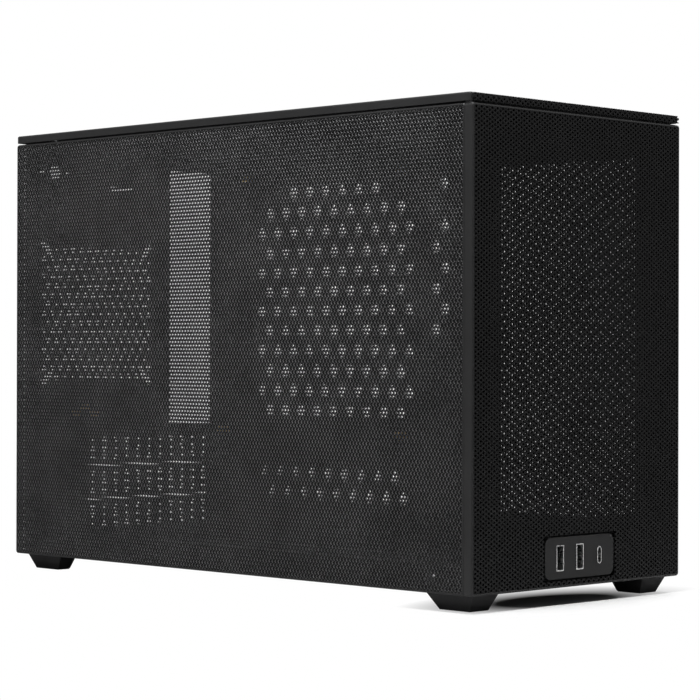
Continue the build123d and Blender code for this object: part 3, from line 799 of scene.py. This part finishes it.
@dataclass
class SheetPanel:
    """One of the removable sheets: its rim and its perforated face."""

    side: Side
    node: str
    body: str
    perforation: Perforation
    centre: tuple[float, float, float]
    width: float
    height: float
    depth: float
    parts: int = 1
    border: float = 0.9
    sunk: float = 0.03
    window: tuple[float, float, float, float] | None = None
    seed: tuple[float, float] = (1.1545, 0.0)

    def build(self, shop: Workshop) -> None:
        """Make the rim and the perforated face in one or more pieces.

        Args:
            shop: The workshop that publishes the pieces.
        """
        place = self.side.placing(self.centre)
        rim = FoldedRim(self.width, self.height, self.depth).shape()
        bmesh.ops.transform(rim, matrix=place, verts=rim.verts)
        piece = shop.mesh_of(rim, f"{self.node}_rim")
        shop.publish(piece, "panel_steel", self.body, self.node, finish="panel_rim")
        low = (-self.width / 2 + self.border, -self.height / 2 + self.border)
        high = (self.width / 2 - self.border, self.height / 2 - self.border)
        for part in range(self.parts):
            run = (high[0] - low[0]) / self.parts
            start = (low[0] + part * run, low[1])
            end = (low[0] + (part + 1) * run, high[1])
            web = self.perforation.sheet_of(start, end, self.seed)
            if self.window is not None:
                cut_window(web, self.window[:2], self.window[2:])
            bmesh.ops.recalc_face_normals(web, faces=web.faces)
            bmesh.ops.translate(web, vec=(0, 0, -self.sunk), verts=web.verts)
            bmesh.ops.transform(web, matrix=place, verts=web.verts)
            piece = shop.mesh_of(web, f"{self.node}_mesh_{part + 1}")
            shop.publish(piece, "panel_steel", self.body, self.node)


@dataclass
class Studio:
    """Floor, white surroundings, soft lamps and the camera of the photograph."""

    camera_place: tuple[float, float, float] = (-0.960817, -0.963503, 0.126975)
    yaw: float = 0.79178
    pitch: float = -0.00182
    roll: float = 0.00274
    lens: float = 123.82
    floor_radius: float = 30.0
    shadow_middle: tuple[float, float, float] = (0.0, -0.165, 0.0)
    shadow_shape: tuple[float, float, float] = (0.5, 1.0, 1.0)

    def camera(self) -> None:
        """Place the camera as it was fitted to the photograph."""
        forward = Vector((
            math.sin(self.yaw) * math.cos(self.pitch),
            math.cos(self.yaw) * math.cos(self.pitch),
            -math.sin(self.pitch),
        ))
        side = Vector((math.cos(self.yaw), -math.sin(self.yaw), 0.0))
        up = side.cross(forward)
        cosine, sine = math.cos(self.roll), math.sin(self.roll)
        turned_side = cosine * side + sine * up
        turned_up = cosine * up - sine * side
        lens = bpy.data.cameras.new("camera")
        lens.lens = self.lens
        lens.sensor_width = 36.0
        lens.clip_start = 0.01
        lens.clip_end = 200.0
        camera = bpy.data.objects.new("camera", lens)
        bpy.context.scene.collection.objects.link(camera)
        turn = Matrix((turned_side, turned_up, -forward)).transposed().to_4x4()
        camera.matrix_world = Matrix.Translation(self.camera_place) @ turn
        bpy.context.scene.camera = camera

    def surroundings(self) -> None:
        """White to the camera, to gloss and through glass; soft and even for what it lights."""
        world = bpy.data.worlds.new("surroundings")
        world.use_nodes = True
        bpy.context.scene.world = world
        nodes, links = world.node_tree.nodes, world.node_tree.links
        base = nodes["Background"]
        base.inputs["Color"].default_value = (1.0, 1.0, 1.0, 1.0)
        base.inputs["Strength"].default_value = 0.07
        white = nodes.new("ShaderNodeBackground")
        white.inputs["Color"].default_value = (1.0, 1.0, 1.0, 1.0)
        white.inputs["Strength"].default_value = 1.0
        rays = nodes.new("ShaderNodeLightPath")
        mixer = nodes.new("ShaderNodeMixShader")
        seen = nodes.new("ShaderNodeMath")
        seen.operation = "MAXIMUM"
        either = nodes.new("ShaderNodeMath")
        either.operation = "MAXIMUM"
        links.new(rays.outputs["Is Camera Ray"], seen.inputs[0])
        links.new(rays.outputs["Is Glossy Ray"], seen.inputs[1])
        links.new(seen.outputs[0], either.inputs[0])
        links.new(rays.outputs["Is Transmission Ray"], either.inputs[1])
        links.new(either.outputs[0], mixer.inputs["Fac"])
        links.new(base.outputs[0], mixer.inputs[1])
        links.new(white.outputs[0], mixer.inputs[2])
        links.new(mixer.outputs[0], nodes["World Output"].inputs["Surface"])

    def floor(self) -> None:
        """A pale floor that keeps the shadow under the front edge and is white elsewhere."""
        shape = bmesh.new()
        bmesh.ops.create_circle(shape, cap_ends=True, radius=self.floor_radius, segments=96)
        mesh = bpy.data.meshes.new("floor")
        shape.to_mesh(mesh)
        shape.free()
        floor = bpy.data.objects.new("floor", mesh)
        bpy.context.scene.collection.objects.link(floor)
        board = NodeBoard("floor_paper")
        board.shader.inputs["Base Color"].default_value = (0.82, 0.82, 0.82, 1.0)
        board.shader.inputs["Roughness"].default_value = 0.9
        board.shader.inputs["Specular IOR Level"].default_value = 0.0
        tree = board.material.node_tree
        glow = board.add("ShaderNodeEmission", Color=(1.0, 1.0, 1.0, 1.0), Strength=1.0)
        rays = board.add("ShaderNodeLightPath")
        near = board.add("ShaderNodeVectorMath")
        near.operation = "SUBTRACT"
        near.inputs[1].default_value = self.shadow_middle
        board.link(board.place.outputs["Object"], near.inputs[0])
        narrow = board.add("ShaderNodeVectorMath")
        narrow.operation = "MULTIPLY"
        narrow.inputs[1].default_value = self.shadow_shape
        board.link(near.outputs["Vector"], narrow.inputs[0])
        distance = board.add("ShaderNodeVectorMath")
        distance.operation = "LENGTH"
        board.link(narrow.outputs["Vector"], distance.inputs[0])
        fade = board.add("ShaderNodeMapRange", From_Min=0.02, From_Max=0.055, To_Min=0.0, To_Max=1.0)
        board.link(distance.outputs["Value"], fade.inputs["Value"])
        share = board.add("ShaderNodeMath")
        share.operation = "MULTIPLY"
        board.link(fade.outputs["Result"], share.inputs[0])
        board.link(rays.outputs["Is Camera Ray"], share.inputs[1])
        mixer = board.add("ShaderNodeMixShader")
        board.link(share.outputs[0], mixer.inputs["Fac"])
        board.link(board.shader.outputs[0], mixer.inputs[1])
        board.link(glow.outputs[0], mixer.inputs[2])
        board.link(mixer.outputs[0], tree.nodes["Material Output"].inputs["Surface"])
        mesh.materials.append(board.material)

    def lamp(self, name: str, place: tuple, aim: tuple, size: float, power: float) -> None:
        """Hang a square soft lamp that the camera doesn't see.

        Args:
            name: Name of the lamp.
            place: Where it hangs, in metres.
            aim: The point that it faces.
            size: Its side.
            power: Its power in watts.
        """
        light = bpy.data.lights.new(name, "AREA")
        light.shape = "SQUARE"
        light.size = size
        light.energy = power
        lamp = bpy.data.objects.new(name, light)
        bpy.context.scene.collection.objects.link(lamp)
        direction = Vector(aim) - Vector(place)
        turn = direction.to_track_quat("-Z", "Y").to_matrix().to_4x4()
        lamp.matrix_world = Matrix.Translation(place) @ turn
        lamp.visible_camera = False

    def build(self) -> None:
        """Set up the camera, the surroundings, the floor and the lamps.

        The lamp at the upper left shines along the left sheet, so that its hole walls catch the light; those
        walls also carry a painted highlight in their coat.
        """
        self.camera()
        self.surroundings()
        self.floor()
        self.lamp("high_left", (-0.17, -0.21, 0.6), (-0.083, -0.06, 0.15), 0.13, 4.2)
        self.lamp("low_left", (-0.5, -0.1, 0.03), (-0.083, -0.02, 0.06), 0.3, 0.35)
        self.lamp("right", (0.55, 0.05, 0.6), (0.083, 0.0, 0.13), 0.4, 4.0)
        self.lamp("overhead", (0.1, 0.25, 1.8), (0.0, 0.1, 0.0), 1.2, 4.0)
        bpy.context.scene.view_settings.view_transform = "Standard"


def front_web() -> Perforation:
    """Describe the perforation of the front, which the cover's front rim has too.

    Returns:
        The perforation.
    """
    return Perforation(rows=Rows.UPRIGHT, sheet=1.3)


def side_panels() -> list[SheetPanel]:
    """Describe the four sheets that pull off.

    The thicknesses, and the pitch and place of the right sheet's holes, are fitted to the light that the
    photograph shows through them.

    Returns:
        The panels, ready to build.
    """
    # Only the left sheet's hole walls carry the painted highlight coat; the front and right sheets keep dark
    # walls.
    left = Perforation(half_wide=0.95, half_tall=1.14, sheet=0.75, flat_back=True, wall_highlight_index=1)
    right = Perforation(pitch=2.305, sheet=0.65)
    half = CASE_WIDTH / 2
    return [
        SheetPanel(
            Side.LEFT, "left_side_panel", "left_panel", left, (-half, SIDE_SHIFT, PANEL_MIDDLE),
            SIDE_LENGTH, PANEL_HEIGHT, 5.0, parts=2,
        ),
        SheetPanel(
            Side.RIGHT, "right_side_panel", "right_panel", right, (half, SIDE_SHIFT, PANEL_MIDDLE),
            SIDE_LENGTH, PANEL_HEIGHT, 5.0, parts=2, seed=(1.38, 2.4),
        ),
        SheetPanel(
            Side.FRONT, "front_panel", "front_cover", front_web(), (0.0, CASE_FRONT, PANEL_MIDDLE),
            CASE_WIDTH, PANEL_HEIGHT, 5.1, window=PORT_WINDOW,
        ),
        SheetPanel(
            Side.TOP, "top_cover", "top_lid", Perforation(), (0.0, 0.75, CASE_TOP), CASE_WIDTH, 360.5, 4.3,
        ),
    ]


def staggered(middle: tuple[float, float], pitch: float, rows: dict[int, int], hole: float) -> list[Punch]:
    """Round holes in rows of a triangular lattice, each row centred on the middle.

    Args:
        middle: Where row zero is centred, in the sheet's directions.
        pitch: Distance between neighbouring holes.
        rows: Number of holes by the number of the row.
        hole: Diameter.

    Returns:
        The punches.
    """
    step = pitch * math.sin(math.pi / 3)
    return [
        Punch(middle[0] + (column - (count - 1) / 2) * pitch, middle[1] + row * step, hole, hole)
        for row, count in rows.items()
        for column in range(count)
    ]


def chassis_sheets() -> list[PunchedSheet]:
    """Describe the tray, the rear panel and the slot covers with their real holes.

    Returns:
        The sheets, ready to build.
    """
    step = TRAY_PITCH * math.sin(math.pi / 3)
    field = {row: 9 if row % 2 else 10 for row in range(-5, 6)}
    field[6] = 6
    tray_holes = staggered(TRAY_FIELD, TRAY_PITCH, field, TRAY_HOLE)
    for way in (-1, 1):
        middle = (TRAY_LOWER_FIELD[0] + way * TRAY_PITCH / 4, TRAY_LOWER_FIELD[1] + way * step / 2)
        tray_holes += staggered(middle, TRAY_PITCH, {0: 9}, TRAY_HOLE)
    for row in (-1, 0, 1, 2, 3, 4, 6):
        shift = TRAY_PITCH / 4 if row % 2 else -TRAY_PITCH / 4
        tray_holes.append(
            Punch(TRAY_COLUMN + shift, TRAY_FIELD[1] + row * step, TRAY_HOLE, TRAY_HOLE)
        )
    tray = PunchedSheet(
        "motherboard_tray", Side.RIGHT, (73.4, 0.0, 0.0), 1.2,
        [(2.0, 86.0, 141.5, 233.0), (6.0, 35.0, 137.5, 60.0), (-26.0, 134.0, -5.5, 233.0)], tray_holes,
    )
    vent = {row: 13 if row % 2 else 14 for row in range(-7, 8)}
    vent_holes = staggered(VENT_MIDDLE, VENT_PITCH, vent, VENT_HOLE)
    for turn in (45, 135, 225, 315):
        across = math.copysign(FAN_SLOT_REACH, math.cos(math.radians(turn)))
        up = math.copysign(FAN_SLOT_REACH, math.sin(math.radians(turn)))
        vent_holes.append(Punch(VENT_MIDDLE[0] + across, VENT_MIDDLE[1] + up, 11.3, 4.5, turn))
    rear = PunchedSheet(
        "rear_panel", Side.FRONT, (0.0, 179.4, 0.0), 1.2, [(-68.0, 104.0, 22.0, 198.5)], vent_holes,
    )
    sheets = [tray, rear]
    for index, height in enumerate(SLOT_HEIGHTS, start=1):
        grid = [
            Punch(column * SLOT_GRID[0], height + row * SLOT_GRID[1], 3.8, 3.8)
            for column in range(-3, 8)
            for row in (-1, 0, 1)
        ]
        sheets.append(PunchedSheet(
            f"slot_cover_{index}", Side.FRONT, (0.0, 178.35, 0.0), 0.9,
            [(-31.5, height - 5.0, 66.0, height + 5.0)], grid,
        ))
    return sheets


def main() -> None:
    """Load the frame, dress it, add the pieces and report them."""
    logging.basicConfig(level=logging.INFO, format="%(name)s: %(message)s", stream=sys.stdout)
    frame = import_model()
    Studio().build()
    palette = Palette()
    palette.dress_frame(frame)
    shop = Workshop(palette)

    for panel in side_panels():
        panel.build(shop)
    front_rim = front_web().sheet_of((-82.6, -2.1), (82.6, 1.75))
    bmesh.ops.recalc_face_normals(front_rim, faces=front_rim.faces)
    bmesh.ops.transform(
        front_rim, matrix=Side.FRONT.placing((0.0, CASE_FRONT, 253.55)), verts=front_rim.verts
    )
    shop.publish(
        shop.mesh_of(front_rim, "top_cover_front_rim"), "panel_steel", "top_lid", "top_cover",
    )
    for sheet in chassis_sheets():
        sheet.build(shop, frame)


if __name__ == "__main__":
    main()
